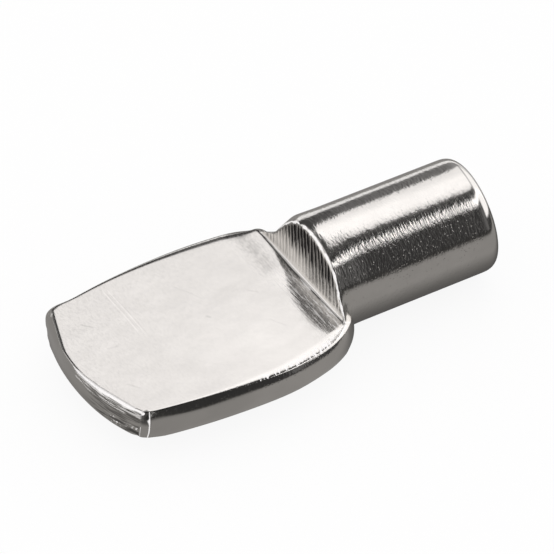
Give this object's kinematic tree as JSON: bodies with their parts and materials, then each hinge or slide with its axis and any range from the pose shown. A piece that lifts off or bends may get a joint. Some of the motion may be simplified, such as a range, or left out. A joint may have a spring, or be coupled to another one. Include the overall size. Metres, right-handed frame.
{
  "type": "shelf support pin",
  "caption": "Nickel-plated steel shelf support: a round pin that plugs into a drilled cabinet side, pressed flat ahead of a step into a broad blade that the shelf lies on.",
  "frame": {"origin": "on the pin's axis, in the plane where the shoulder stops against the cabinet", "axes": "+X along the pin to its free end, +Y across the blade, +Z square to the blade's top face"},
  "size_m": [0.0237, 0.0114, 0.0064],
  "materials": {
    "nickel_plate": "bright nickel plating over steel"
  },
  "bodies": {
    "root": {"shelf_support_pin": "nickel_plate"}
  },
  "joints": []
}
